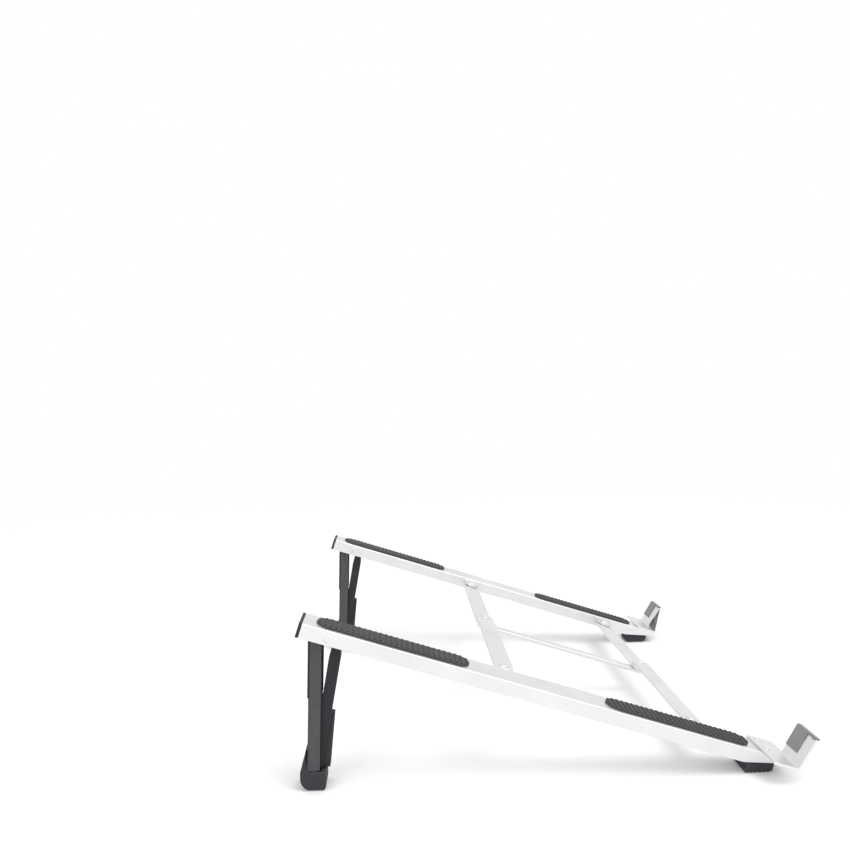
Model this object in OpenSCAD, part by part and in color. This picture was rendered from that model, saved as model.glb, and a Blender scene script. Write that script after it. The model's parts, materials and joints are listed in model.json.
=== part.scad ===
// Folding laptop stand: two channel arms joined by two folding crossbars and a spine.
// Each arm rests on a front foot and on a folding pair of legs, a strut and a brace.
// All sizes are in millimetres. X is across, Y goes back, Z is up from the desk.

/* [Stand] */
// Angle of the arms above the desk, in degrees
tilt = 17.5; // [12:0.5:20]
// Length of each arm
arm_len = 240; // [200:1:300]
// Distance between the centre planes of the two arms
arm_pitch = 206; // [170:1:250]
// Height of the arm's front edge above the desk
front_height = 7; // [5.5:0.1:9]

/* [Arm] */
// Width of the arm channel
arm_w = 18; // [17:0.5:24]
// Depth of the arm channel
arm_h = 7; // [6.5:0.1:9]
// Wall of the arm channel
arm_wall = 1.5; // [1:0.1:1.8]
// Length of the tapered front of the arm
taper_len = 20; // [12:1:30]
// Depth of the arm at its front edge
nose_h = 2.4; // [2:0.1:4]
// Length of the end cap's plug inside the channel
cap_plug = 1.2; // [0.8:0.1:1.6]
// Thickness of the end cap's cover
cap_t = 1.4; // [1:0.1:3]
// Thickness of the silicone pads on the arm
pad_t = 1.5; // [1:0.1:2.5]
// Width of the silicone pads on the arm
pad_w = 13; // [8:0.5:16]
// Length of each silicone pad on the arm
pad_len = 74; // [50:1:80]

/* [Hook] */
// Width of the hook's upright
hook_w = 18; // [14:0.5:24]
// Height of the hook above the arm
hook_h = 16.7; // [13:0.2:24]
// Thickness of the hook's sheet
hook_t = 1.2; // [1:0.1:2]
// Lean of the hook's upright towards the front, in degrees
hook_lean = 14; // [0:0.5:18]
// Distance from the arm's centre plane to the hook's centre
hook_offset = 13; // [8:0.5:16]
// Depth of the tab that fastens the hook to the arm
tab_len = 13; // [10:0.5:20]
// Width of the grip pad on the hook
grip_w = 10.5; // [7:0.5:13]
// Thickness of the grip pad
grip_t = 0.5; // [0.4:0.1:1.2]

/* [Crossbars] */
// Width of the crossbars
bar_w = 10; // [8:0.5:11]
// Thickness of the crossbars
bar_t = 2; // [1.5:0.1:2]
// Free gap between stacked bars
bar_gap = 0.2; // [0.15:0.01:0.3]
// Depth of the top bar's upper face below the arm's upper face
bar_drop = 0.6; // [0.4:0.1:1]
// Distance from the arm's front edge to the front crossbar
bar_front = 40; // [36:1:50]
// Distance between the two crossbars
bar_pitch = 100; // [98:1:120]
// Distance from the arm's side to the crossbar's rivet
lug_reach = 7; // [6.5:0.5:10]
// Radius of the crossbar rivets
rivet_r = 1.5; // [1.2:0.1:2]
// Radius of the rivet heads
head_r = 2.8; // [2.5:0.1:3.2]
// Height of the rivet heads
head_t = 0.7; // [0.5:0.1:0.8]
// Width of the spine
spine_w = 7; // [6:0.5:8]

/* [Legs] */
// Distance from the arm's rear end to the leg hinge
hinge_back = 12.6; // [9.5:0.1:16]
// Depth of the leg hinge below the arm's upper face
hinge_drop = 4.2; // [4.2:0.1:4.6]
// Radius of the leg hinge pin
hinge_r = 1.25; // [1:0.05:1.4]
// Radius of the strut's eye on the leg hinge
eye_r = 2.4; // [2.2:0.05:2.4]
// Distance that the leg hinge stands in front of the strut's centre line
hinge_lead = 5.1; // [4.8:0.1:6]
// Lean of the strut towards the front, in degrees
strut_lean = 1.4; // [0:0.1:3]
// Lean of the brace towards the front, in degrees
brace_lean = 9.8; // [7:0.1:11]
// Height of the foot pivot above the desk
pivot_h = 12.6; // [10.5:0.1:15]
// Width of the strut, side to side
strut_w = 12; // [11:0.1:12.5]
// Thickness of the strut's side plates
plate_t = 1.2; // [0.8:0.1:1.3]
// Front edge of the strut's side plates, from the centre line
strut_front = 2.7; // [2.4:0.1:3]
// Rear edge of the strut's side plates, from the centre line
strut_rear = 3; // [2.6:0.1:3.2]
// Height above the foot pivot where the liner starts
liner_from = 30.8; // [28:0.1:34]
// Thickness of the liner's cheeks
liner_t = 0.8; // [0.6:0.1:0.9]
// Thickness of the liner's back
liner_back = 1; // [0.8:0.1:1.2]
// Thickness of the brace's side plates
brace_t = 1.4; // [1:0.1:1.4]
// Front edge of the brace's side plates, from its pivot line
brace_front = 4.1; // [3.8:0.1:4.8]
// How far the brace's spacer stands out in front of the plates, at its top
brace_step = 1.55; // [1:0.05:2]
// How much more it stands out at the foot
brace_flare = 2; // [0.5:0.1:2.1]
// Height of the spacer's top above the foot pivot
step_v = 23.5; // [18:0.5:26]
// Distance that the brace's tip stops short of the leg hinge
tip_gap = 3.6; // [3.5:0.1:5]
// Radius of the brace's tip
tip_r = 2; // [1.8:0.1:2]
// Radius of the foot pivot pin
pivot_r = 1.5; // [1.2:0.1:1.6]

/* [Feet] */
// Width of the rubber shoe
shoe_w = 13.4; // [13:0.1:14]
// Height of the shoe's block
shoe_h = 9; // [7:0.1:9]
// Front of the shoe, from the foot pivot
shoe_front = 5.5; // [5:0.1:6.6]
// Rear of the shoe, from the foot pivot
shoe_rear = 6.3; // [5.5:0.1:7]
// Height of the shoe's heel behind the strut
heel_h = 19.3; // [15:0.1:24]
// Distance from the arm's front edge to the front foot
foot_from = 4; // [3:0.5:8]
// Length of the front foot
foot_len = 13; // [8:0.5:16]

/* [Rack] */
// Number of notches in the rack
notches = 6; // [4:1:7]
// Spacing of the notches
notch_pitch = 4.8; // [4:0.1:5]
// Thickness of the rack's fin
rack_t = 3.2; // [2:0.1:3.4]
// Depth of the rack's fin below the arm's upper face
rack_h = 8; // [6.8:0.1:8.2]

/* [Clearances] */
// Radial clearance of a turning fit
run_gap = 0.05; // [0.02:0.01:0.08]
// Radial clearance of a fixed pin in its bore
set_gap = 0.02; // [0.01:0.01:0.03]
// Free gap between the sides of the brace and the liner
side_gap = 0.3; // [0.2:0.05:0.4]
// Free gap between the brace's tip pin and the rack's end face
catch_gap = 0.15; // [0.1:0.01:0.3]

/* [Hidden] */
$fn = 48;
far = 400;               // a length past every part, for cuts

arm_x = arm_pitch / 2;
bar_rear = bar_front + bar_pitch;
bar_half = arm_x - arm_w / 2 - lug_reach;
level_a = -bar_drop - bar_t;
level_b = level_a - bar_gap - bar_t;
level_c = level_b - bar_gap - bar_t;
hinge_y = arm_len - hinge_back;

// Point of the arm's plane, as [Y, Z] above the desk
function lifted(y, z) = [y * cos(tilt) - z * sin(tilt),
                         front_height + y * sin(tilt) + z * cos(tilt)];
// Point above the desk, as [y, z] in the arm's plane
function lowered(p) = [p[0] * cos(tilt) + (p[1] - front_height) * sin(tilt),
                       -p[0] * sin(tilt) + (p[1] - front_height) * cos(tilt)];
// Depth of the desk below the arm's upper face, at a distance along the arm
function desk_z(y) = -(front_height + y * sin(tilt)) / cos(tilt);
function turned(p, a) = [p[0] * cos(a) - p[1] * sin(a), p[0] * sin(a) + p[1] * cos(a)];

hinge = lifted(hinge_y, -hinge_drop);
hinge_v = (hinge[1] - pivot_h + hinge_lead * sin(strut_lean)) / cos(strut_lean);
pivot = hinge - turned([-hinge_lead, hinge_v], strut_lean);
brace_in = strut_w / 2 - plate_t - liner_t - side_gap;
tip_inset = 0.65;        // how far the brace's tip stands back from its front edge
tip_lead = brace_front - tip_r - tip_inset;
tip_v = hinge_v - tip_gap;
tip = lowered(pivot + turned([-tip_lead, tip_v], brace_lean));
tip_pin_r = tip_r / 2;
rack_end = tip[0] - tip_pin_r - catch_gap;

// The whole stand is moved so that its footprint is centred on the origin
hook_top = [-hook_h * tan(hook_lean), hook_h];
front_y = lifted(hook_top[0] - grip_t, hook_top[1] + grip_t)[0];
rear_y = max(lifted(arm_len + cap_t, -arm_h)[0], pivot[0] + shoe_rear);
mid_y = (front_y + rear_y) / 2;

// Small fixed sizes
hook_pin_r = 1.1;        // rivets that hold the hook's tab
hook_head_r = 1.9;
hook_head_t = 0.4;
hook_pin_inset = 4;      // their distance from the tab's edges
neck_drop = 3.6;         // how far the strut's side plates reach below the foot pivot
tongue_drop = 8.6;       // how far their tongues reach into the shoe
tongue_front = 2;
tongue_w = 4.2;
upper_inset = 0.55;      // how much narrower the strut is above the liner's start
upper_rear = strut_rear - upper_inset;
lug_r = 4.5;

silver = [0.80, 0.81, 0.82];
steel = [0.62, 0.63, 0.65];
slate = [0.36, 0.38, 0.39];
dark = [0.20, 0.21, 0.22];
rubber = [0.24, 0.24, 0.26];
grip_grey = [0.55, 0.56, 0.57];

// Places what is drawn along an arm, with its upper face at Z = 0, on the desk
module arm_plane() {
    translate([0, -mid_y, front_height]) rotate([tilt, 0, 0]) children();
}

// Places what is drawn upright, with the foot pivot at the origin
module at_pivot(side) {
    translate([side * arm_x, pivot[0] - mid_y, pivot[1]]) children();
}

// Extrudes a side view, drawn as [back, up], from x0 over a width w
module side_view(x0, w) {
    translate([x0, 0, 0]) rotate([90, 0, 90]) linear_extrude(w) children();
}

// Two copies of a side view, mirrored about the centre plane, between x_in and x_out
module side_pair(x_in, x_out) {
    side_view(x_in, x_out - x_in) children();
    side_view(-x_out, x_out - x_in) children();
}

// A pin along X, centred on the middle plane
module cross_pin(r, len) {
    rotate([0, 90, 0]) cylinder(r = r, h = len, center = true);
}

// ---- arm and what is fixed to it ----

module arm_profile() {
    polygon([[0, 0], [arm_len, 0], [arm_len, -arm_h], [taper_len, -arm_h], [0, -nose_h]]);
}

hook_hole_y = tab_len - hook_pin_inset;
hook_hole_x = arm_w / 2 - hook_pin_inset;

module arm(side) {
    color(silver) arm_plane() translate([side * arm_x, 0, 0]) difference() {
        side_view(-arm_w / 2, arm_w) arm_profile();
        translate([-arm_w / 2 + arm_wall, arm_wall, -arm_h - 1])
            cube([arm_w - 2 * arm_wall, arm_len, arm_h + 1 - arm_wall]);
        translate([0, hinge_y, -hinge_drop]) cross_pin(hinge_r + set_gap, arm_w + 2);
        for (sx = [-1, 1]) translate([sx * hook_hole_x, hook_hole_y, -arm_h])
            cylinder(r = hook_pin_r, h = arm_h + 1);
    }
}

module top_pads(side) {
    front_gap = 4;
    rear_gap = 6;
    starts = [tab_len + front_gap, arm_len - pad_len - rear_gap];
    color(rubber) arm_plane() for (y = starts)
        translate([side * arm_x - pad_w / 2, y + pad_w / 2, 0]) {
            cube([pad_w, pad_len - pad_w, pad_t]);
            for (dy = [0, pad_len - pad_w]) translate([pad_w / 2, dy, 0])
                cylinder(r = pad_w / 2, h = pad_t);
        }
}

// The hook's sheet, in side view: the tab on the arm and the leaning upright
module hook_side() {
    polygon([[0, 0], [tab_len, 0], [tab_len, hook_t], [hook_t * (1 - tan(hook_lean)), hook_t],
             [hook_t + hook_top[0], hook_h], hook_top]);
}

module hook(side) {
    outer = hook_offset + hook_w / 2;
    color(silver) arm_plane() translate([side * arm_x, 0, 0]) difference() {
        mirror([side < 0 ? 1 : 0, 0, 0]) side_view(-arm_w / 2, outer + arm_w / 2) hook_side();
        mirror([side < 0 ? 1 : 0, 0, 0]) translate([-arm_w / 2 - 1, -far / 2, hook_t])
            cube([outer - hook_w + arm_w / 2 + 1, far, far]);
        for (sx = [-1, 1]) translate([sx * hook_hole_x, hook_hole_y, -1])
            cylinder(r = hook_pin_r, h = hook_t + 2);
    }
}

// The grip is a sleeve over one part of the upright, with a bead along the rest of its top
module grip_side(low) {
    run = tan(hook_lean);
    difference() {
        polygon([[hook_t + grip_t - low * run, low], [-grip_t - low * run, low],
                 [hook_top[0] - grip_t, hook_h + grip_t],
                 [hook_top[0] + hook_t + grip_t, hook_h + grip_t]]);
        polygon([[hook_t, 0], [0, 0], hook_top, [hook_top[0] + hook_t, hook_h]]);
    }
}

module hook_grip(side) {
    right_x = side * (arm_x + hook_offset) + hook_w / 2;
    grip_low = 6;
    bead_low = hook_h - grip_t / 2;
    color(grip_grey) arm_plane() {
        side_view(right_x - grip_w, grip_w) grip_side(grip_low);
        side_view(right_x - hook_w, hook_w - grip_w) grip_side(bead_low);
    }
}

module hook_rivets(side) {
    color(steel) arm_plane() for (sx = [-1, 1])
        translate([side * arm_x + sx * hook_hole_x, hook_hole_y, 0]) {
            translate([0, 0, -arm_wall]) cylinder(r = hook_pin_r - set_gap, h = arm_wall + hook_t);
            for (z = [hook_t, -arm_wall - hook_head_t]) translate([0, 0, z])
                cylinder(r = hook_head_r, h = hook_head_t);
        }
}

module front_foot(side) {
    w = arm_w - 2 * arm_wall;
    a = foot_from;
    b = foot_from + foot_len;
    roof = -arm_wall - hook_head_t;
    color(rubber) arm_plane() translate([side * arm_x, 0, 0])
        side_view(-w / 2, w)
            polygon([[a, roof], [b, roof], [b, desk_z(b)], [a, desk_z(a)]]);
}

module end_cap(side) {
    plug_w = arm_w - 2 * arm_wall;
    color(dark) arm_plane() translate([side * arm_x, 0, 0]) {
        translate([-arm_w / 2, arm_len, -arm_h]) cube([arm_w, cap_t, arm_h]);
        translate([-plug_w / 2, arm_len - cap_plug, -arm_h])
            cube([plug_w, cap_plug, arm_h - arm_wall]);
    }
}

// A fin under the arm: the brace's tip stands against its rear end or in one of its notches
module rack(side) {
    notch_top = 6.4;
    notch_run = 0.72 * notch_pitch;
    length = (notches - 1) * notch_pitch;
    color(steel) arm_plane() translate([side * arm_x, 0, 0]) side_view(-rack_t / 2, rack_t)
        difference() {
            translate([rack_end - length, -rack_h]) square([length, rack_h - arm_wall]);
            for (i = [1:notches - 1]) translate([rack_end - i * notch_pitch, -rack_h])
                polygon([[0, -0.01], [notch_run, -0.01], [0, rack_h - notch_top]]);
        }
}

module hinge_pin(side) {
    color(steel) arm_plane() translate([side * arm_x, hinge_y, -hinge_drop])
        cross_pin(hinge_r, arm_w);
}

// ---- strut: side plates, liner, shoe and pivot pin ----

// The tongue that holds the side plate in the shoe
module tongue_side() {
    translate([-tongue_front, -tongue_drop]) square([tongue_w, tongue_drop - neck_drop + 1]);
}

// The side plate, in side view, with the foot pivot at the origin
module plate_side() {
    ear_from = hinge_v - 3.2;
    ear_top = hinge_v + 1.4;
    eye_low = [eye_r * sin(30), -eye_r * cos(30)];
    difference() {
        union() {
            translate([-strut_front, -neck_drop])
                square([strut_front + strut_rear, liner_from + neck_drop]);
            translate([-strut_front, liner_from - 1])
                square([strut_front + upper_rear, hinge_v - liner_from]);
            polygon([[upper_rear, ear_from], [upper_rear, ear_top],
                     [-hinge_lead, hinge_v + eye_r - 0.02],
                     [-hinge_lead - eye_low[0], hinge_v + eye_low[1]],
                     [-strut_front, ear_from]]);
            translate([-hinge_lead, hinge_v]) circle(r = eye_r);
            tongue_side();
        }
        circle(r = pivot_r + set_gap);
        translate([-hinge_lead, hinge_v]) circle(r = hinge_r + run_gap);
    }
}

module strut_plates(side) {
    groove = [0.6, 0.6, 4];
    groove_at = [-1.5, 27];
    color(slate) at_pivot(side) rotate([strut_lean, 0, 0]) difference() {
        side_pair(strut_w / 2 - plate_t, strut_w / 2) plate_side();
        for (sx = [-1, 1])
            translate([(sx * strut_w - groove[0]) / 2, groove_at[0], groove_at[1]]) cube(groove);
    }
}

module strut_liner(side) {
    top = hinge_v - 3.5;
    back_top = hinge_v - 1;
    front = strut_front + 0.3;
    cheek_x = strut_w / 2 - plate_t;
    color(dark) at_pivot(side) rotate([strut_lean, 0, 0]) {
        side_pair(cheek_x - liner_t, cheek_x)
            translate([-front, liner_from]) square([front + upper_rear, top - liner_from]);
        side_view(-strut_w / 2, strut_w)
            translate([upper_rear, liner_from]) square([liner_back, back_top - liner_from]);
    }
}

// The shoe, in side view: a round-cornered block with a heel that rises behind the strut
module shoe_side() {
    heel_r = 5.8;
    toe_r = 2.4;
    base = -pivot_h;
    heel_in = strut_rear + 0.15;
    heel_t = 0.3;
    bend = 8.8;
    block_h = min(shoe_h, pivot_h - neck_drop);
    intersection() {
        translate([shoe_rear - heel_r, base + heel_r]) circle(r = heel_r);
        translate([shoe_rear - heel_r, base]) square([heel_r + 1, heel_r]);
    }
    translate([-shoe_front + toe_r, base + toe_r]) circle(r = toe_r);
    polygon([[-shoe_front + toe_r, base], [shoe_rear - heel_r, base],
             [shoe_rear, base + heel_r], [shoe_rear, base + bend],
             [heel_in + heel_t, base + heel_h], [heel_in, base + heel_h],
             [heel_in, base + block_h], [-shoe_front, base + block_h],
             [-shoe_front, base + toe_r]]);
}

module shoe(side) {
    color(rubber) at_pivot(side) difference() {
        side_view(-shoe_w / 2, shoe_w) shoe_side();
        rotate([strut_lean, 0, 0]) side_pair(strut_w / 2 - plate_t, strut_w / 2) {
            tongue_side();
            translate([-strut_front, -neck_drop]) square([strut_front + strut_rear, far]);
        }
    }
}

module foot_pin(side) {
    color(steel) at_pivot(side) cross_pin(pivot_r, strut_w);
}

// ---- brace: side plates, spacer and tip pin ----

// The brace's plate, in side view, with the foot pivot at the origin
module brace_side() {
    rear = 1.25;
    low_rear = 2.6;
    toe_v = -2.2;
    foot_v = -2.9;
    neck_v = tip_v - 6;
    slope = 2.5;
    polygon([[-brace_front, toe_v], [low_rear, foot_v], [low_rear, step_v - slope / 2],
             [rear, step_v + slope / 2], [rear, neck_v], [-tip_lead + tip_r, tip_v],
             [-tip_lead - tip_r, tip_v], [-brace_front, neck_v]]);
    translate([-tip_lead, tip_v]) circle(r = tip_r);
}

module brace_plates(side) {
    color(dark) at_pivot(side) rotate([brace_lean, 0, 0])
        side_pair(brace_in - brace_t, brace_in) difference() {
            brace_side();
            circle(r = pivot_r + run_gap);
            translate([-tip_lead, tip_v]) circle(r = tip_pin_r + set_gap);
        }
}

// The spacer stands out in front of the plates, and ends in a step
module brace_spacer(side) {
    w = 2 * (brace_in - brace_t);
    rim = pivot_r + run_gap + 0.5;
    front = -brace_front - brace_step;
    color(dark) at_pivot(side) rotate([brace_lean, 0, 0]) side_view(-w / 2, w) difference() {
        polygon([[front - brace_flare, -rim], [rim, -rim], [rim, step_v], [front, step_v]]);
        circle(r = pivot_r + run_gap);
    }
}

module tip_pin(side) {
    color(steel) at_pivot(side) rotate([brace_lean, 0, 0])
        translate([0, -tip_lead, tip_v]) cross_pin(tip_pin_r, 2 * brace_in);
}

// ---- crossbars, spine, lugs and rivets ----

// A flat bar with round ends, from p to q, with a bore at each end
module link(p, q, w, z, bore_p, bore_q) {
    d = q - p;
    translate([p[0], p[1], z]) rotate([0, 0, atan2(d[1], d[0])]) difference() {
        union() {
            translate([0, -w / 2, 0]) cube([norm(d), w, bar_t]);
            cylinder(r = w / 2, h = bar_t);
            translate([norm(d), 0, 0]) cylinder(r = w / 2, h = bar_t);
        }
        translate([0, 0, -1]) cylinder(r = bore_p, h = bar_t + 2);
        translate([norm(d), 0, -1]) cylinder(r = bore_q, h = bar_t + 2);
    }
}

module left_bar(y) {
    color(silver) arm_plane()
        link([-bar_half, y], [0, y], bar_w, level_a, rivet_r + run_gap, rivet_r + set_gap);
}

module right_bar(y) {
    color(silver) arm_plane()
        link([0, y], [bar_half, y], bar_w, level_b, rivet_r + run_gap, rivet_r + run_gap);
}

module spine() {
    color(silver) arm_plane()
        link([0, bar_front], [0, bar_rear], spine_w, level_c, rivet_r + run_gap, rivet_r + run_gap);
}

// Each lug is a tongue on the arm's inner side, one level away from the bar that turns on it
module lugs(side) {
    z = side < 0 ? level_b : level_a;
    color(steel) arm_plane() for (y = [bar_front, bar_rear])
        translate([side * bar_half, y, z]) difference() {
            union() {
                cylinder(r = lug_r, h = bar_t);
                translate([side < 0 ? -lug_reach : 0, -lug_r, 0])
                    cube([lug_reach, 2 * lug_r, bar_t]);
            }
            translate([0, 0, -1]) cylinder(r = rivet_r + set_gap, h = bar_t + 2);
        }
}

module rivet(low, high) {
    translate([0, 0, low]) cylinder(r = rivet_r, h = high - low);
    translate([0, 0, high]) cylinder(r = head_r, h = head_t);
    translate([0, 0, low - head_t]) cylinder(r = head_r, h = head_t);
}

module lug_rivets(side) {
    color(steel) arm_plane() for (y = [bar_front, bar_rear])
        translate([side * bar_half, y, 0]) rivet(level_b, level_a + bar_t);
}

module knuckle_rivet(y) {
    color(steel) arm_plane() translate([0, y, 0]) rivet(level_c, level_a + bar_t);
}

arm(-1);  // left_arm
top_pads(-1);  // left_top_pads
hook(-1);  // left_hook
hook_grip(-1);  // left_hook_grip
hook_rivets(-1);  // left_hook_rivets
front_foot(-1);  // left_front_foot
end_cap(-1);  // left_end_cap
rack(-1);  // left_rack
hinge_pin(-1);  // left_hinge_pin
lugs(-1);  // left_lugs
lug_rivets(-1);  // left_lug_rivets
strut_plates(-1);  // left_strut_plates
strut_liner(-1);  // left_strut_liner
shoe(-1);  // left_shoe
foot_pin(-1);  // left_foot_pin
brace_plates(-1);  // left_brace_plates
brace_spacer(-1);  // left_brace_spacer
tip_pin(-1);  // left_tip_pin
arm(1);  // right_arm
top_pads(1);  // right_top_pads
hook(1);  // right_hook
hook_grip(1);  // right_hook_grip
hook_rivets(1);  // right_hook_rivets
front_foot(1);  // right_front_foot
end_cap(1);  // right_end_cap
rack(1);  // right_rack
hinge_pin(1);  // right_hinge_pin
lugs(1);  // right_lugs
lug_rivets(1);  // right_lug_rivets
strut_plates(1);  // right_strut_plates
strut_liner(1);  // right_strut_liner
shoe(1);  // right_shoe
foot_pin(1);  // right_foot_pin
brace_plates(1);  // right_brace_plates
brace_spacer(1);  // right_brace_spacer
tip_pin(1);  // right_tip_pin
left_bar(bar_front);  // front_bar_left
right_bar(bar_front);  // front_bar_right
left_bar(bar_rear);  // rear_bar_left
right_bar(bar_rear);  // rear_bar_right
spine();
knuckle_rivet(bar_front);  // front_knuckle_rivet
knuckle_rivet(bar_rear);  // rear_knuckle_rivet
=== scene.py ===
import json
import math

import bmesh
import bpy
from mathutils import Matrix, Vector


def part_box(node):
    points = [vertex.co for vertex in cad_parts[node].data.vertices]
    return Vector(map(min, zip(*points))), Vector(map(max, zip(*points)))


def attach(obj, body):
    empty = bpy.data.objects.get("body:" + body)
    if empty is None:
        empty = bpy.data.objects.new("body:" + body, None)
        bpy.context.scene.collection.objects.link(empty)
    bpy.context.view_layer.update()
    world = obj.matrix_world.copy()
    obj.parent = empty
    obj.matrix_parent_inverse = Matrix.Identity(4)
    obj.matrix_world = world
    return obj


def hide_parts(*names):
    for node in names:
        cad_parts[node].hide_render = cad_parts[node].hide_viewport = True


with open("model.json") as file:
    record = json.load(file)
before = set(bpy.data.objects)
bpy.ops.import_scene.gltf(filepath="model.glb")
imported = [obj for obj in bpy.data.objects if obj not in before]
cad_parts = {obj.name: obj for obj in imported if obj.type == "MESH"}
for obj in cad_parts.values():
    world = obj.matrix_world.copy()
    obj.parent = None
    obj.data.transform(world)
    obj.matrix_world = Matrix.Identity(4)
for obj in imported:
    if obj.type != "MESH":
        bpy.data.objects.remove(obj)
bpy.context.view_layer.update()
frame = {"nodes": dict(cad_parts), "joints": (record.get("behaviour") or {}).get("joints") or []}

# ---- sizes, in metres ----

MM = 0.001
SIDES = ("left", "right")
UP = Vector((0, 0, 1))
HOOK_LEAN = math.radians(14)

# Points nearer than this are one point, and faces that differ less are one flat face
SAME_POINT = 1e-6
SAME_FLAT = math.radians(0.4)

# Edges sharper than the first angle are rounded, and the second one parts smooth shading
SHARP_EDGE = 30
SMOOTH_UP_TO = math.radians(35)

# Top pads: rib height, pitch, depth along the arm, room at the ends, and how far ribs sink in
RIB_H = 0.4 * MM
RIB_PITCH = 2.6 * MM
RIB_DEPTH = 0.9 * MM
RIB_MARGIN = 1.6 * MM
RIB_SINK = 0.05 * MM
PAD_ROUND = 0.35 * MM
PAD_WEAR = 0.6
PAD_END_STEPS = 20

# Hook: corners of the upright, inner height of the bend, and what counts as its rim
HOOK_CORNER = 0.8 * MM
HOOK_BEND = 1.4 * MM
HOOK_RIM = 0.1 * MM

# Rivets: head thickness, shank and head radius, and a hair of air under the heads
HOOK_RIVET = {"head_t": 0.4 * MM, "shaft_r": 1.0 * MM, "head_r": 1.85 * MM}
BAR_RIVET = {"head_t": 0.7 * MM, "shaft_r": 1.48 * MM, "head_r": 2.75 * MM}
HEAD_RIM = 0.35
SEAT_GAP = 0.02 * MM

# Tread bars under the feet and shoes: height, and how far they reach into the block
TREAD_H = 0.6 * MM
TREAD_SINK = 0.1 * MM
TREAD_EDGE = 0.01 * MM

FLOOR_RADIUS = 2.0
FLOOR_FADE = (0.3, 1.3)

CAMERA_AT = (-0.4824, 0.0741, 0.1849)
CAMERA_HEADING = -5.10
CAMERA_DROP = -3.54
CAMERA_LENS = 34.86
CAMERA_SHIFT = (-0.0541, 0.0170)
CAMERA_NEAR = 0.01

# ---- directions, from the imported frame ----

joints = {j["name"]: j for j in frame["joints"]}
arm_up = Vector(joints["spread"]["axis"]).normalized()
arm_back = Vector((0, arm_up.z, -arm_up.y))
arm_tilt = math.atan2(-arm_up.y, arm_up.z)
to_plane = Matrix(((1, 0, 0), arm_back, arm_up))
from_plane = to_plane.transposed()


# ---- CAD nodes as meshes ----

def node_points(node):
    """A CAD node's shape as a bmesh with its double vertices merged."""
    bm = bmesh.new()
    bm.from_mesh(frame["nodes"][node].data)
    bmesh.ops.remove_doubles(bm, verts=bm.verts, dist=SAME_POINT)
    return bm


def node_mesh(node):
    """A CAD node's shape as a clean bmesh: merged, with its flat faces joined."""
    bm = node_points(node)
    bmesh.ops.dissolve_limit(bm, angle_limit=SAME_FLAT, verts=bm.verts, edges=bm.edges)
    return bm


def islands(node):
    """The vertex places of each separate solid in a CAD node."""
    bm = node_points(node)
    left = set(bm.verts)
    groups = []
    while left:
        queue = [left.pop()]
        group = []
        while queue:
            v = queue.pop()
            group.append(v.co.copy())
            for e in v.link_edges:
                other = e.other_vert(v)
                if other in left:
                    left.remove(other)
                    queue.append(other)
        groups.append(group)
    bm.free()
    return groups


def plane_boxes(node):
    """The boxes of a node's solids in the arms' tilted plane, front one first."""
    boxes = []
    for group in islands(node):
        points = [to_plane @ p for p in group]
        low = Vector([min(p[i] for p in points) for i in range(3)])
        high = Vector([max(p[i] for p in points) for i in range(3)])
        boxes.append((low, high))
    return sorted(boxes, key=lambda b: (b[0].y, b[0].x))


# ---- mesh helpers ----

def piece(name, bm, material):
    """A mesh object with rounded shading, from a bmesh in the row frame."""
    mesh = bpy.data.meshes.new(name)
    bm.to_mesh(mesh)
    bm.free()
    mesh.materials.append(material)
    mesh.shade_smooth()
    mesh.set_sharp_from_angle(angle=SMOOTH_UP_TO)
    obj = bpy.data.objects.new(name, mesh)
    bpy.context.scene.collection.objects.link(obj)
    weights = obj.modifiers.new("normals", "WEIGHTED_NORMAL")
    weights.keep_sharp = True
    view = bpy.context.evaluated_depsgraph_get()
    obj.data = bpy.data.meshes.new_from_object(obj.evaluated_get(view))
    obj.modifiers.clear()
    bpy.data.meshes.remove(mesh)
    obj.data.name = name
    return obj


def put(obj, body, slot, *nodes):
    """Lets a piece ride on a body and stand for CAD nodes. The slot is not used."""
    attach(obj, body)
    if nodes:
        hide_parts(*nodes)


def edge_layer(bm):
    """The vertex layer that is 1 on rounded edges, for the worn finish."""
    layers = bm.verts.layers.float
    return layers.get("edge") or layers.new("edge")


def bevelled(bm, edges, offset, segments):
    """Rounds some edges, and gives back what that made."""
    return bmesh.ops.bevel(bm, geom=edges, offset=offset, segments=segments, profile=0.5,
                           affect="EDGES", clamp_overlap=False)


def round_edges(bm, width, steps=2, least=0.5 * MM, angle=SHARP_EDGE):
    """Rounds the sharp edges longer than least, and marks the rounds in the edge layer."""
    layer = edge_layer(bm)
    sharp = [
        e for e in bm.edges
        if len(e.link_faces) == 2
        and e.calc_face_angle(0) > math.radians(angle)
        and e.calc_length() > least
    ]
    made = bevelled(bm, sharp, width, steps)
    rounds = set(made["faces"])
    for v in made["verts"]:
        if v.is_valid and all(f in rounds for f in v.link_faces):
            v[layer] = 1.0
    return bm


def refine(node, body, slot, material, **rounding):
    """Stands for a CAD node with the same shape, its edges softened."""
    bm = round_edges(node_mesh(node), **rounding)
    put(piece(node + "_finished", bm, material), body, slot, node)


def arc(centre, radius, start, end, count):
    """Points on an arc, angles in degrees from the first axis towards the second."""
    angles = [math.radians(start + (end - start) * i / count) for i in range(count + 1)]
    return [(centre[0] + radius * math.cos(a), centre[1] + radius * math.sin(a)) for a in angles]


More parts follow.
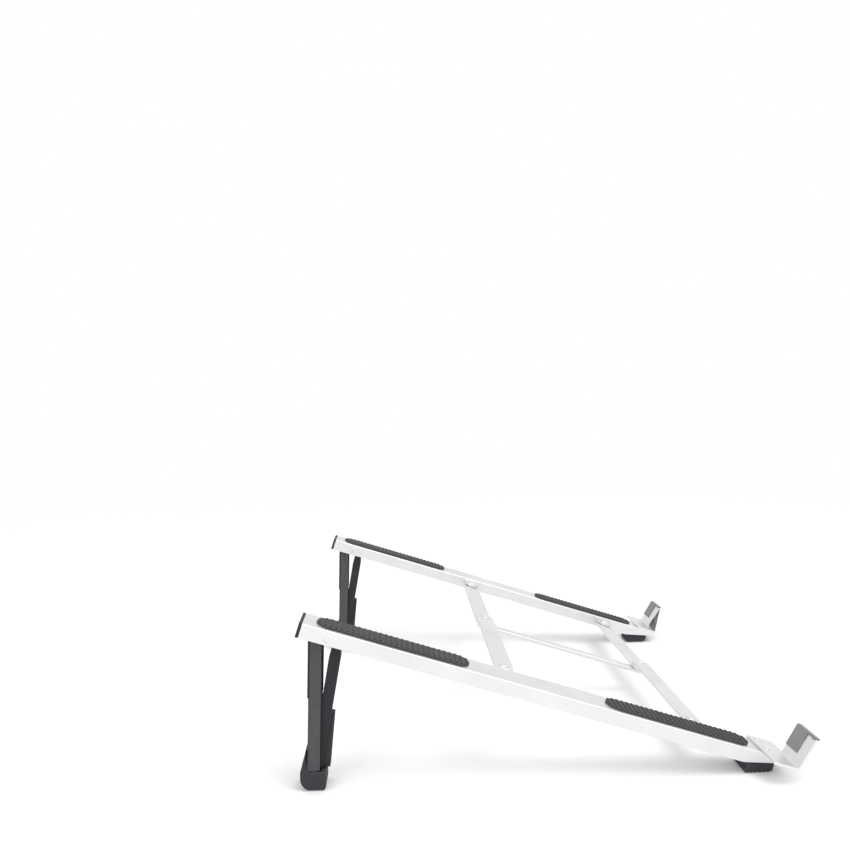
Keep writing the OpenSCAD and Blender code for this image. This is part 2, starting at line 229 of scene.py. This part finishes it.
def lathe(profile, axis_at, axis_dir, count=40):
    """A turned piece: profile is [radius, height] points from one pole of the axis to the other."""
    bm = bmesh.new()
    edge_layer(bm)
    turn = UP.rotation_difference(axis_dir).to_matrix()
    rings = []
    for radius, height in profile:
        sides = count if radius > SAME_POINT else 1
        ring = []
        for i in range(sides):
            a = 2 * math.pi * i / count
            place = Vector((radius * math.cos(a), radius * math.sin(a), height))
            ring.append(bm.verts.new(axis_at + turn @ place))
        rings.append(ring)
    for low, high in zip(rings, rings[1:]):
        for i in range(count):
            j = (i + 1) % count
            if len(low) == 1:
                bm.faces.new((low[0], high[j], high[i]))
            elif len(high) == 1:
                bm.faces.new((low[i], low[j], high[0]))
            else:
                bm.faces.new((low[i], low[j], high[j], high[i]))
    bmesh.ops.recalc_face_normals(bm, faces=bm.faces)
    return bm


def soft_bar(length_x, depth_y, height_z, share=0.3):
    """A low bar centred on X and Y, standing on Z = 0, its upper edges rounded by a share."""
    bm = bmesh.new()
    edge_layer(bm)
    bmesh.ops.create_cube(bm, size=1.0)
    for v in bm.verts:
        v.co = Vector((v.co.x * length_x, v.co.y * depth_y, (v.co.z + 0.5) * height_z))
    top = [e for e in bm.edges if all(v.co.z > height_z / 2 for v in e.verts)]
    radius = min(depth_y, height_z) * share
    bmesh.ops.bevel(bm, geom=top, offset=radius, segments=2, profile=0.5, affect="EDGES")
    return bm


def joined(parts):
    """Several bmeshes in one."""
    whole = bmesh.new()
    for part in parts:
        mesh = bpy.data.meshes.new("part")
        part.to_mesh(mesh)
        part.free()
        whole.from_mesh(mesh)
        bpy.data.meshes.remove(mesh)
    return whole


# ---- Geometry Nodes: a row of equal shapes, and the ribs of a round-ended pad ----

def feed(tree, socket, value):
    """Links a socket to an output, or sets its own value."""
    if isinstance(value, bpy.types.NodeSocket):
        tree.links.new(value, socket)
    else:
        socket.default_value = value


def math_node(tree, operation, *values):
    node = tree.nodes.new("ShaderNodeMath")
    node.operation = operation
    for socket, value in zip(node.inputs, values):
        feed(tree, socket, value)
    return node.outputs[0]


def new_tree(name, inputs):
    """A Geometry Nodes tree with named inputs, and its two end nodes."""
    tree = bpy.data.node_groups.new(name, "GeometryNodeTree")
    face = tree.interface
    face.new_socket(name="Geometry", in_out="INPUT", socket_type="NodeSocketGeometry")
    for label, kind in inputs:
        face.new_socket(name=label, in_out="INPUT", socket_type=kind)
    face.new_socket(name="Geometry", in_out="OUTPUT", socket_type="NodeSocketGeometry")
    return tree, tree.nodes.new("NodeGroupInput"), tree.nodes.new("NodeGroupOutput")


def lay_copies(tree, given, out, count, start, step, scale=None):
    """Copies of the given mesh on a line of points, made real and painted."""
    n, link = tree.nodes, tree.links.new
    line = n.new("GeometryNodeMeshLine")
    copies = n.new("GeometryNodeInstanceOnPoints")
    real = n.new("GeometryNodeRealizeInstances")
    paint = n.new("GeometryNodeSetMaterial")
    link(count, line.inputs["Count"])
    link(start, line.inputs["Start Location"])
    link(step, line.inputs["Offset"])
    link(line.outputs["Mesh"], copies.inputs["Points"])
    link(given.outputs["Geometry"], copies.inputs["Instance"])
    if scale:
        link(scale, copies.inputs["Scale"])
    link(copies.outputs["Instances"], real.inputs["Geometry"])
    link(real.outputs["Geometry"], paint.inputs["Geometry"])
    link(given.outputs["Material"], paint.inputs["Material"])
    link(paint.outputs["Geometry"], out.inputs["Geometry"])


def row_tree():
    """Copies the object's own mesh along a line."""
    tree, given, out = new_tree("row_of_copies", [
        ("Count", "NodeSocketInt"),
        ("Start", "NodeSocketVector"),
        ("Step", "NodeSocketVector"),
        ("Material", "NodeSocketMaterial"),
    ])
    ends = given.outputs
    lay_copies(tree, given, out, ends["Count"], ends["Start"], ends["Step"])
    return tree


def rib_tree():
    """Ribs across a round-ended strip: the object's mesh is one rib of unit width along X."""
    tree, given, out = new_tree("ribs_on_round_ended_strip", [
        ("Count", "NodeSocketInt"),
        ("Length", "NodeSocketFloat"),
        ("Width", "NodeSocketFloat"),
        ("Margin", "NodeSocketFloat"),
        ("Material", "NodeSocketMaterial"),
    ])
    n, link = tree.nodes, tree.links.new
    count, length, width, margin = (
        given.outputs[k] for k in ("Count", "Length", "Width", "Margin")
    )
    run = math_node(tree, "SUBTRACT", length, math_node(tree, "MULTIPLY", margin, 2.0))
    gaps = math_node(tree, "SUBTRACT", count, 1.0)
    step = n.new("ShaderNodeCombineXYZ")
    start = n.new("ShaderNodeCombineXYZ")
    link(math_node(tree, "DIVIDE", run, gaps), step.inputs["Y"])
    link(margin, start.inputs["Y"])
    # Near a round end, a rib is as wide as the circle is there
    parts = n.new("ShaderNodeSeparateXYZ")
    link(n.new("GeometryNodeInputPosition").outputs[0], parts.inputs[0])
    far = math_node(tree, "SUBTRACT", length, parts.outputs["Y"])
    from_end = math_node(tree, "MINIMUM", parts.outputs["Y"], far)
    half = math_node(tree, "MULTIPLY", width, 0.5)
    into_round = math_node(tree, "MAXIMUM", math_node(tree, "SUBTRACT", half, from_end), 0.0)
    square = math_node(tree, "SUBTRACT", math_node(tree, "MULTIPLY", half, half),
                       math_node(tree, "MULTIPLY", into_round, into_round))
    reach = math_node(tree, "MULTIPLY", math_node(tree, "SQRT", square), 2.0)
    size = n.new("ShaderNodeCombineXYZ")
    link(math_node(tree, "SUBTRACT", reach, margin), size.inputs["X"])
    size.inputs["Y"].default_value = 1.0
    size.inputs["Z"].default_value = 1.0
    lay_copies(tree, given, out, count, start.outputs[0], step.outputs[0], size.outputs[0])
    return tree


def grown(bm, tree, values):
    """What a Geometry Nodes tree makes of a bmesh, as a new bmesh."""
    mesh = bpy.data.meshes.new("seed")
    bm.to_mesh(mesh)
    bm.free()
    seed = bpy.data.objects.new("seed", mesh)
    bpy.context.scene.collection.objects.link(seed)
    modifier = seed.modifiers.new("nodes", "NODES")
    modifier.node_group = tree
    for item in tree.interface.items_tree:
        if item.in_out == "INPUT" and item.name in values:
            modifier[item.identifier] = values[item.name]
    view = bpy.context.evaluated_depsgraph_get()
    made = bpy.data.meshes.new_from_object(seed.evaluated_get(view))
    result = bmesh.new()
    result.from_mesh(made)
    bpy.data.objects.remove(seed)
    bpy.data.meshes.remove(mesh)
    bpy.data.meshes.remove(made)
    return result


ROW = row_tree()
RIBS = rib_tree()


# ---- shader groups: each puts out masks, heights or colours for the materials ----

def shader_group(name, inputs, outputs):
    """A shader node group with named sockets, and its two end nodes."""
    tree = bpy.data.node_groups.new(name, "ShaderNodeTree")
    for label, kind, value in inputs:
        socket = tree.interface.new_socket(name=label, in_out="INPUT", socket_type=kind)
        if value is not None:
            socket.default_value = value
    for label, kind in outputs:
        tree.interface.new_socket(name=label, in_out="OUTPUT", socket_type=kind)
    return tree, tree.nodes.new("NodeGroupInput"), tree.nodes.new("NodeGroupOutput")


def noise(tree, vector, scale, detail=2.0, roughness=0.5):
    node = tree.nodes.new("ShaderNodeTexNoise")
    tree.links.new(vector, node.inputs["Vector"])
    feed(tree, node.inputs["Scale"], scale)
    node.inputs["Detail"].default_value = detail
    node.inputs["Roughness"].default_value = roughness
    return node.outputs["Fac"]


def ramp(tree, value, low, high, to_low=0.0, to_high=1.0):
    node = tree.nodes.new("ShaderNodeMapRange")
    tree.links.new(value, node.inputs["Value"])
    for label, number in (("From Min", low), ("From Max", high),
                          ("To Min", to_low), ("To Max", to_high)):
        node.inputs[label].default_value = number
    return node.outputs["Result"]


def scaled(tree, vector, factors):
    node = tree.nodes.new("ShaderNodeVectorMath")
    node.operation = "MULTIPLY"
    tree.links.new(vector, node.inputs[0])
    node.inputs[1].default_value = factors
    return node.outputs[0]


def shares(tree, first, share, second):
    """A share of one value, and the rest of another."""
    return math_node(tree, "ADD", math_node(tree, "MULTIPLY", first, share),
                     math_node(tree, "MULTIPLY", second, 1.0 - share))


def grain_group():
    """Fine blasted grain with slow cloudy change, for anodised and moulded surfaces."""
    tree, given, out = shader_group(
        "fine_grain",
        [("Vector", "NodeSocketVector", None), ("Scale", "NodeSocketFloat", 4000.0),
         ("Cloud", "NodeSocketFloat", 60.0)],
        [("Mask", "NodeSocketFloat"), ("Height", "NodeSocketFloat")],
    )
    fine = noise(tree, given.outputs["Vector"], given.outputs["Scale"])
    cloud = noise(tree, given.outputs["Vector"], given.outputs["Cloud"], detail=3.0)
    mixed = shares(tree, fine, 0.45, cloud)
    tree.links.new(ramp(tree, mixed, low=0.36, high=0.64), out.inputs["Mask"])
    tree.links.new(fine, out.inputs["Height"])
    return tree


def brushed_group():
    """Fine straight lines left by brushing, long in the direction with the small factor."""
    tree, given, out = shader_group(
        "brushed_lines",
        [("Vector", "NodeSocketVector", None), ("Scale", "NodeSocketFloat", 900.0)],
        [("Mask", "NodeSocketFloat"), ("Height", "NodeSocketFloat")],
    )
    thin = noise(tree, given.outputs["Vector"], given.outputs["Scale"], detail=3.0, roughness=0.6)
    wide_scale = math_node(tree, "MULTIPLY", given.outputs["Scale"], 0.23)
    wide = noise(tree, given.outputs["Vector"], wide_scale)
    mixed = shares(tree, thin, 0.6, wide)
    tree.links.new(ramp(tree, mixed, low=0.38, high=0.62), out.inputs["Mask"])
    tree.links.new(thin, out.inputs["Height"])
    return tree


def worn_edge_group():
    """Edges that handling has brightened: a broken-up mask from the edge layer."""
    tree, given, out = shader_group(
        "worn_edge",
        [("Vector", "NodeSocketVector", None), ("Edge", "NodeSocketFloat", 0.0),
         ("Base", "NodeSocketColor", None), ("Worn", "NodeSocketColor", None),
         ("Amount", "NodeSocketFloat", 0.6)],
        [("Color", "NodeSocketColor"), ("Mask", "NodeSocketFloat")],
    )
    spots = noise(tree, given.outputs["Vector"], scale=420.0, detail=3.0)
    patchy = ramp(tree, spots, low=0.3, high=0.62, to_low=0.35)
    mask = math_node(tree, "MULTIPLY", given.outputs["Edge"], patchy)
    mask = math_node(tree, "MULTIPLY", mask, given.outputs["Amount"])
    mix = tree.nodes.new("ShaderNodeMix")
    mix.data_type = "RGBA"
    tree.links.new(mask, mix.inputs["Factor"])
    tree.links.new(given.outputs["Base"], mix.inputs["A"])
    tree.links.new(given.outputs["Worn"], mix.inputs["B"])
    tree.links.new(mix.outputs["Result"], out.inputs["Color"])
    tree.links.new(mask, out.inputs["Mask"])
    return tree


def hatch_group():
    """Two crossing sets of fine moulded lines."""
    tree, given, out = shader_group(
        "moulded_hatch",
        [("Vector", "NodeSocketVector", None), ("Scale", "NodeSocketFloat", 700.0)],
        [("Mask", "NodeSocketFloat"), ("Height", "NodeSocketFloat")],
    )
    waves = []
    for sign in (1.0, -1.0):
        slanted = scaled(tree, given.outputs["Vector"], (1.0, sign, 1.0))
        wave = tree.nodes.new("ShaderNodeTexWave")
        wave.bands_direction = "DIAGONAL"
        tree.links.new(slanted, wave.inputs["Vector"])
        tree.links.new(given.outputs["Scale"], wave.inputs["Scale"])
        waves.append(wave.outputs["Fac"])
    crossed = math_node(tree, "MAXIMUM", *waves)
    tree.links.new(ramp(tree, crossed, low=0.5, high=1.0), out.inputs["Mask"])
    tree.links.new(crossed, out.inputs["Height"])
    return tree


def dimple_group():
    """A close square grid of round dimples on a face in the XZ plane."""
    tree, given, out = shader_group(
        "dimple_grid",
        [("Vector", "NodeSocketVector", None), ("Spacing", "NodeSocketFloat", 0.001)],
        [("Mask", "NodeSocketFloat"), ("Height", "NodeSocketFloat")],
    )
    parts = tree.nodes.new("ShaderNodeSeparateXYZ")
    flat = tree.nodes.new("ShaderNodeCombineXYZ")
    grid = tree.nodes.new("ShaderNodeVectorMath")
    grid.operation = "SCALE"
    tree.links.new(given.outputs["Vector"], parts.inputs[0])
    tree.links.new(parts.outputs["X"], flat.inputs["X"])
    tree.links.new(parts.outputs["Z"], flat.inputs["Y"])
    tree.links.new(flat.outputs[0], grid.inputs[0])
    tree.links.new(math_node(tree, "DIVIDE", 1.0, given.outputs["Spacing"]), grid.inputs["Scale"])
    cell = tree.nodes.new("ShaderNodeTexVoronoi")
    cell.inputs["Scale"].default_value = 1.0
    cell.inputs["Randomness"].default_value = 0.0
    tree.links.new(grid.outputs[0], cell.inputs["Vector"])
    height = ramp(tree, cell.outputs["Distance"], low=0.2, high=0.45)
    tree.links.new(height, out.inputs["Mask"])
    tree.links.new(height, out.inputs["Height"])
    return tree


GRAIN = grain_group()
DIMPLES = dimple_group()
BRUSHED = brushed_group()
WORN = worn_edge_group()
HATCH = hatch_group()


# ---- materials ----

class Finish:
    """A material with its shader, its Object coordinates and its edge layer at hand."""

    def __init__(self, name, metallic=0.0, specular=0.5):
        self.material = bpy.data.materials.new(name)
        self.material.use_nodes = True
        self.tree = self.material.node_tree
        self.tree.nodes.clear()
        out = self.tree.nodes.new("ShaderNodeOutputMaterial")
        self.shader = self.tree.nodes.new("ShaderNodeBsdfPrincipled")
        self.tree.links.new(self.shader.outputs["BSDF"], out.inputs["Surface"])
        self.shader.inputs["Metallic"].default_value = metallic
        self.shader.inputs["Specular IOR Level"].default_value = specular
        self.at = self.tree.nodes.new("ShaderNodeTexCoord").outputs["Object"]
        edge = self.tree.nodes.new("ShaderNodeAttribute")
        edge.attribute_name = "edge"
        self.edge = edge.outputs["Fac"]

    def group(self, group, vector=None, **values):
        """A shader group on this material's coordinates, with its inputs set by name."""
        node = self.tree.nodes.new("ShaderNodeGroup")
        node.node_tree = group
        self.tree.links.new(vector or self.at, node.inputs["Vector"])
        for label, value in values.items():
            feed(self.tree, node.inputs[label], value)
        return node.outputs

    def mix(self, mask, low, high):
        node = self.tree.nodes.new("ShaderNodeMix")
        node.data_type = "RGBA"
        self.tree.links.new(mask, node.inputs["Factor"])
        node.inputs["A"].default_value = (*low, 1.0)
        node.inputs["B"].default_value = (*high, 1.0)
        return node.outputs["Result"]

    def colour(self, mask, low, high, worn, amount):
        """Base colour between low and high by the mask, brightened along the edges."""
        base = self.mix(mask, low, high)
        outs = self.group(WORN, Edge=self.edge, Base=base, Worn=(*worn, 1.0), Amount=amount)
        self.tree.links.new(outs["Color"], self.shader.inputs["Base Color"])

    def rough(self, mask, low, high):
        spread = ramp(self.tree, mask, 0.0, 1.0, to_low=low, to_high=high)
        self.tree.links.new(spread, self.shader.inputs["Roughness"])

    def bump(self, height, depth, strength):
        node = self.tree.nodes.new("ShaderNodeBump")
        node.inputs["Distance"].default_value = depth
        node.inputs["Strength"].default_value = strength
        self.tree.links.new(height, node.inputs["Height"])
        self.tree.links.new(node.outputs["Normal"], self.shader.inputs["Normal"])


def silver_anodised():
    f = Finish("silver_anodised", metallic=1.0)
    grain = f.group(GRAIN, Scale=3200.0, Cloud=45.0)
    f.colour(grain["Mask"], low=(0.70, 0.71, 0.72), high=(0.78, 0.785, 0.79),
             worn=(0.92, 0.92, 0.915), amount=0.7)
    f.rough(grain["Mask"], low=0.40, high=0.50)
    f.bump(grain["Height"], depth=0.004 * MM, strength=0.4)
    return f.material


def brushed_steel():
    f = Finish("brushed_steel", metallic=1.0)
    lines = f.group(BRUSHED, vector=scaled(f.tree, f.at, (1.0, 0.12, 1.0)), Scale=2600.0)
    f.colour(lines["Mask"], low=(0.70, 0.70, 0.71), high=(0.82, 0.82, 0.82),
             worn=(0.92, 0.92, 0.91), amount=0.5)
    f.rough(lines["Mask"], low=0.24, high=0.38)
    f.bump(lines["Height"], depth=0.003 * MM, strength=0.4)
    return f.material


def slate_anodised():
    f = Finish("slate_anodised", specular=0.3)
    lines = f.group(BRUSHED, vector=scaled(f.tree, f.at, (1.0, 1.0, 0.08)), Scale=1500.0)
    f.colour(lines["Mask"], low=(0.047, 0.050, 0.052), high=(0.059, 0.062, 0.064),
             worn=(0.12, 0.125, 0.13), amount=0.7)
    f.rough(lines["Mask"], low=0.40, high=0.52)
    f.bump(lines["Height"], depth=0.01 * MM, strength=0.5)
    return f.material


# Dark anodised finish that also holds painted shade: it is made far darker than the slate plates so
# that the brace plates and the liner strips look as if they lie in shadow.
def dark_anodised_and_painted_shade():
    f = Finish("dark_anodised_and_painted_shade", specular=0.25)
    grain = f.group(GRAIN, Scale=2600.0, Cloud=90.0)
    f.colour(grain["Mask"], low=(0.014, 0.015, 0.018), high=(0.022, 0.024, 0.028),
             worn=(0.055, 0.057, 0.062), amount=0.6)
    f.rough(grain["Mask"], low=0.44, high=0.58)
    f.bump(grain["Height"], depth=0.012 * MM, strength=0.6)
    return f.material


def dark_moulded():
    f = Finish("dark_moulded", specular=0.3)
    grain = f.group(GRAIN, Scale=1700.0, Cloud=70.0)
    f.colour(grain["Mask"], low=(0.016, 0.017, 0.019), high=(0.025, 0.026, 0.029),
             worn=(0.05, 0.051, 0.055), amount=0.5)
    f.rough(grain["Mask"], low=0.50, high=0.64)
    f.bump(grain["Height"], depth=0.03 * MM, strength=0.7)
    return f.material


def shoe_rubber():
    f = Finish("shoe_rubber", specular=0.25)
    hatch = f.group(HATCH, Scale=330.0)
    grain = f.group(GRAIN, Scale=2100.0, Cloud=160.0)
    both = shares(f.tree, hatch["Mask"], 0.5, grain["Mask"])
    f.colour(both, low=(0.022, 0.023, 0.027), high=(0.044, 0.045, 0.052),
             worn=(0.074, 0.075, 0.082), amount=0.5)
    f.rough(grain["Mask"], low=0.62, high=0.80)
    f.bump(hatch["Height"], depth=0.05 * MM, strength=0.6)
    return f.material


def pad_silicone():
    f = Finish("pad_silicone", specular=0.35)
    grain = f.group(GRAIN, Scale=1500.0, Cloud=120.0)
    f.colour(grain["Mask"], low=(0.030, 0.031, 0.034), high=(0.044, 0.045, 0.048),
             worn=(0.070, 0.071, 0.075), amount=0.5)
    f.rough(grain["Mask"], low=0.55, high=0.72)
    f.bump(grain["Height"], depth=0.02 * MM, strength=0.7)
    return f.material


def grip_silicone():
    f = Finish("grip_silicone", specular=0.3)
    grain = f.group(GRAIN, Scale=1300.0, Cloud=220.0)
    upright = f.tree.nodes.new("ShaderNodeVectorRotate")
    upright.rotation_type = "X_AXIS"
    upright.inputs["Angle"].default_value = -(arm_tilt + HOOK_LEAN)
    f.tree.links.new(f.at, upright.inputs["Vector"])
    dots = f.group(DIMPLES, vector=upright.outputs[0], Spacing=0.9 * MM)
    both = shares(f.tree, grain["Mask"], 0.4, dots["Mask"])
    f.colour(both, low=(0.17, 0.172, 0.176), high=(0.255, 0.258, 0.262),
             worn=(0.31, 0.313, 0.317), amount=0.5)
    f.rough(grain["Mask"], low=0.52, high=0.70)
    f.bump(dots["Height"], depth=0.15 * MM, strength=0.8)
    return f.material


SILVER = silver_anodised()
STEEL = brushed_steel()
SLATE = slate_anodised()
DARK_AND_PAINTED_SHADE = dark_anodised_and_painted_shade()
MOULDED = dark_moulded()
RUBBER = shoe_rubber()
PAD = pad_silicone()
GRIP = grip_silicone()


# ---- pieces fixed to the arms ----

def pad_base(width, length, height):
    """A round-ended strip on Z = 0 with its upper rim rounded."""
    half = width / 2
    outline = arc((length - half, 0), half, -90, 90, PAD_END_STEPS)
    outline += arc((half, 0), half, 90, 270, PAD_END_STEPS)
    bm = bmesh.new()
    layer = edge_layer(bm)
    face = bm.faces.new([bm.verts.new((x, y, 0)) for y, x in outline])
    lifted = bmesh.ops.extrude_face_region(bm, geom=[face])
    top = [v for v in lifted["geom"] if isinstance(v, bmesh.types.BMVert)]
    bmesh.ops.translate(bm, verts=top, vec=(0, 0, height))
    bmesh.ops.recalc_face_normals(bm, faces=bm.faces)
    rim = [e for e in bm.edges if all(v.co.z > height / 2 for v in e.verts)]
    for v in bevelled(bm, rim, PAD_ROUND, 3)["verts"]:
        v[layer] = PAD_WEAR
    return bm


def make_top_pads(side):
    """Round-ended strips: a base, and ribs up to the pad's full height."""
    node = f"{side}_top_pads"
    parts = []
    for low, high in plane_boxes(node):
        width, length = high.x - low.x, high.y - low.y
        base_h = (high.z - low.z) - RIB_H
        rib = soft_bar(1.0, RIB_DEPTH, RIB_H + RIB_SINK, share=0.4)
        ribs = grown(rib, RIBS, {"Count": round(length / RIB_PITCH), "Length": length,
                                 "Width": width, "Margin": RIB_MARGIN, "Material": PAD})
        bmesh.ops.translate(ribs, verts=ribs.verts, vec=(0, 0, base_h - RIB_SINK))
        at = from_plane @ Vector(((low.x + high.x) / 2, low.y, low.z))
        place = Matrix.Translation(at) @ from_plane.to_4x4()
        for bm in (pad_base(width, length, base_h), ribs):
            bmesh.ops.transform(bm, matrix=place, verts=bm.verts)
            parts.append(bm)
    put(piece(node + "_ribbed", joined(parts), PAD), f"{side}_arm", "silicone", node)


def make_hook(side):
    """The bent sheet: the upright's upper corners and the bend are round."""
    node = f"{side}_hook"
    bm = node_mesh(node)
    top = max((to_plane @ v.co).z for v in bm.verts)
    corners = [
        e for e in bm.edges
        if all((to_plane @ v.co).z > top - HOOK_RIM for v in e.verts)
        and abs(e.verts[0].co.x - e.verts[1].co.x) < SAME_POINT
    ]
    bevelled(bm, corners, HOOK_CORNER, 4)
    base = min((to_plane @ v.co).z for v in bm.verts)
    foot = [v for v in bm.verts if (to_plane @ v.co).z < base + HOOK_RIM]
    front = min((to_plane @ v.co).y for v in foot)
    nose = [v for v in foot if (to_plane @ v.co).y < front + HOOK_RIM]
    bend = [e for e in bm.edges if all(v in nose for v in e.verts)]
    bevelled(bm, bend, HOOK_BEND, 6)
    round_edges(bm, width=0.2 * MM, least=0.4 * MM)
    put(piece(node + "_finished", bm, SILVER), f"{side}_arm", "anodised", node)


def make_grip(side):
    """The sleeve on the hook's upright, with the bead along the rest of its top."""
    node = f"{side}_hook_grip"
    bm = node_mesh(node)
    bmesh.ops.connect_verts_concave(bm, faces=bm.faces)
    round_edges(bm, width=0.15 * MM, least=0.8 * MM)
    put(piece(node + "_finished", bm, GRIP), f"{side}_arm", "grip", node)


def dome(radius, height, rows=6):
    """Profile of a rivet head that rises from its rim to its middle."""
    rim = height * HEAD_RIM
    turn = [math.pi / 2 * i / rows for i in range(rows + 1)]
    return [(radius * math.cos(a), rim + (height - rim) * math.sin(a)) for a in turn]


def rivet_piece(node, body, head_t, shaft_r, head_r):
    """Rivets with a shank and domed heads, where the CAD node's rivets stand."""
    head = dome(head_r, head_t)
    seat = head_t - SEAT_GAP
    parts = []
    for low, high in plane_boxes(node):
        length = high.z - low.z
        upper = [(r, length - head_t + h) for r, h in head]
        lower = [(r, head_t - h) for r, h in reversed(head)]
        profile = lower + [(head_r, seat), (shaft_r, seat)]
        profile += [(shaft_r, length - seat), (head_r, length - seat)] + upper
        profile[0] = (0.0, profile[0][1])
        profile[-1] = (0.0, profile[-1][1])
        x, y = (low.x + high.x) / 2, (low.y + high.y) / 2
        parts.append(lathe(profile, from_plane @ Vector((x, y, low.z)), arm_up))
    put(piece(node + "_domed", joined(parts), STEEL), body, "steel", node)


def treaded(node, body, rounding, count, depth, end_gap, side_gap):
    """A rubber block, rounded all round, that stands on a row of tread bars."""
    bm = node_mesh(node)
    low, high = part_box(node)
    for v in bm.verts:
        v.co.z = max(v.co.z, TREAD_H)
    round_edges(bm, **rounding)
    flat = [v.co.y for v in bm.verts if v.co.z < TREAD_H + TREAD_EDGE]
    front, back = min(flat), max(flat)
    step = (back - front - 2 * end_gap) / (count - 1)
    bar = soft_bar(high.x - low.x - 2 * side_gap, depth, TREAD_H + TREAD_SINK)
    bmesh.ops.scale(bar, vec=(1, 1, -1), verts=bar.verts)
    bmesh.ops.reverse_faces(bar, faces=bar.faces)
    bars = grown(bar, ROW, {"Count": count, "Step": (0, step, 0), "Start": (0, 0, 0),
                            "Material": RUBBER})
    at = Vector(((low.x + high.x) / 2, front + end_gap, TREAD_H + TREAD_SINK))
    bmesh.ops.translate(bars, verts=bars.verts, vec=at)
    put(piece(node + "_treaded", joined([bm, bars]), RUBBER), body, "rubber", node)


def make_arm(side):
    """The channel arm and the small parts fixed to it."""
    body = f"{side}_arm"
    refine(body, body, "anodised", SILVER, width=0.45 * MM, steps=3, least=1.0 * MM)
    make_top_pads(side)
    make_hook(side)
    make_grip(side)
    treaded(f"{side}_front_foot", body, {"width": 0.5 * MM, "steps": 3, "least": 0.8 * MM},
            count=6, depth=1.1 * MM, end_gap=1.0 * MM, side_gap=1.0 * MM)
    refine(f"{side}_end_cap", body, "plastic", MOULDED, width=0.35 * MM, steps=3, least=0.8 * MM)
    refine(f"{side}_rack", body, "steel", STEEL, width=0.12 * MM, least=0.3 * MM)
    refine(f"{side}_lugs", body, "steel", STEEL, width=0.2 * MM, least=0.3 * MM)
    refine(f"{side}_hinge_pin", body, "steel", STEEL, width=0.12 * MM, least=0.05 * MM)
    rivet_piece(f"{side}_hook_rivets", body, **HOOK_RIVET)
    rivet_piece(f"{side}_lug_rivets", body, **BAR_RIVET)


# ---- legs and crossbars ----

def make_strut(side):
    """The strut's plates, liner, foot pin and rubber shoe."""
    body = f"{side}_strut"
    refine(f"{side}_strut_plates", body, "slate", SLATE, width=0.14 * MM)
    # Liner: dark plastic, with its narrow strips kept dark partly as painted shade along the
    # plates' edges.
    refine(f"{side}_strut_liner", body, "plastic", DARK_AND_PAINTED_SHADE, width=0.14 * MM)
    refine(f"{side}_foot_pin", body, "slate", SLATE, width=0.2 * MM, least=0.05 * MM)
    rounding = {"width": 0.45 * MM, "steps": 3, "least": 0.4 * MM, "angle": 50}
    treaded(f"{side}_shoe", body, rounding, count=5, depth=0.9 * MM, end_gap=0.8 * MM,
            side_gap=1.2 * MM)


def make_brace(side):
    """The brace's plates, spacer and tip pin."""
    body = f"{side}_brace"
    # Brace plates: their dark colour is partly painted shade, for the shadow they stand in.
    refine(f"{side}_brace_plates", body, "plastic", DARK_AND_PAINTED_SHADE, width=0.2 * MM)
    refine(f"{side}_brace_spacer", body, "plastic", MOULDED, width=0.2 * MM)
    refine(f"{side}_tip_pin", body, "steel", STEEL, width=0.12 * MM, least=0.05 * MM)


def make_bars():
    """The folding crossbars, the spine between them and their knuckle rivets."""
    for name in ("front_bar_left", "front_bar_right", "rear_bar_left", "rear_bar_right", "spine"):
        refine(name, name, "anodised", SILVER, width=0.28 * MM, least=0.3 * MM)
    for name in ("front", "rear"):
        rivet_piece(f"{name}_knuckle_rivet", f"{name}_bar_left", **BAR_RIVET)


for side in SIDES:
    make_arm(side)
    make_strut(side)
    make_brace(side)
make_bars()


# ---- floor, light and camera ----

def make_floor():
    """A pale round floor that fades out far from the stand."""
    bm = bmesh.new()
    bmesh.ops.create_circle(bm, cap_ends=True, segments=96, radius=FLOOR_RADIUS)
    f = Finish("pale_floor", specular=0.2)
    tone = f.group(GRAIN, Scale=30.0, Cloud=3.0)
    base = f.mix(tone["Mask"], low=(0.86, 0.86, 0.86), high=(0.88, 0.88, 0.88))
    f.tree.links.new(base, f.shader.inputs["Base Color"])
    f.shader.inputs["Roughness"].default_value = 0.8
    length = f.tree.nodes.new("ShaderNodeVectorMath")
    length.operation = "LENGTH"
    f.tree.links.new(f.at, length.inputs[0])
    fade = ramp(f.tree, length.outputs["Value"], *FLOOR_FADE, to_low=1.0, to_high=0.0)
    f.tree.links.new(fade, f.shader.inputs["Alpha"])
    floor = piece("floor", bm, f.material)


def soft_light(name, at, size, power):
    """A round soft light that points at the origin."""
    data = bpy.data.lights.new(name, "AREA")
    data.shape = "DISK"
    data.size = size
    data.energy = power
    lamp = bpy.data.objects.new(name, data)
    lamp.location = at
    lamp.rotation_euler = (-Vector(at)).to_track_quat("-Z", "Y").to_euler()
    bpy.context.scene.collection.objects.link(lamp)


def make_light():
    world = bpy.data.worlds.new("studio")
    world.use_nodes = True
    back = world.node_tree.nodes["Background"]
    back.inputs["Color"].default_value = (1.0, 1.0, 1.0, 1.0)
    back.inputs["Strength"].default_value = 1.0
    bpy.context.scene.world = world
    soft_light("key", at=(-0.5, -0.5, 1.3), size=1.0, power=9.0)
    soft_light("fill", at=(-1.1, 0.8, 0.7), size=1.0, power=4.0)
    bpy.context.scene.view_settings.view_transform = "Standard"


def make_camera():
    """Low beside the left arm's rear end, looking across the stand."""
    data = bpy.data.cameras.new("camera")
    data.sensor_width = 36.0
    data.lens = CAMERA_LENS
    data.shift_x, data.shift_y = CAMERA_SHIFT
    data.clip_start = CAMERA_NEAR
    camera = bpy.data.objects.new("camera", data)
    camera.location = CAMERA_AT
    pitch, turn = math.radians(90 + CAMERA_DROP), math.radians(CAMERA_HEADING - 90)
    camera.rotation_euler = (pitch, 0, turn)
    bpy.context.scene.collection.objects.link(camera)
    bpy.context.scene.camera = camera


make_floor()
make_light()
make_camera()
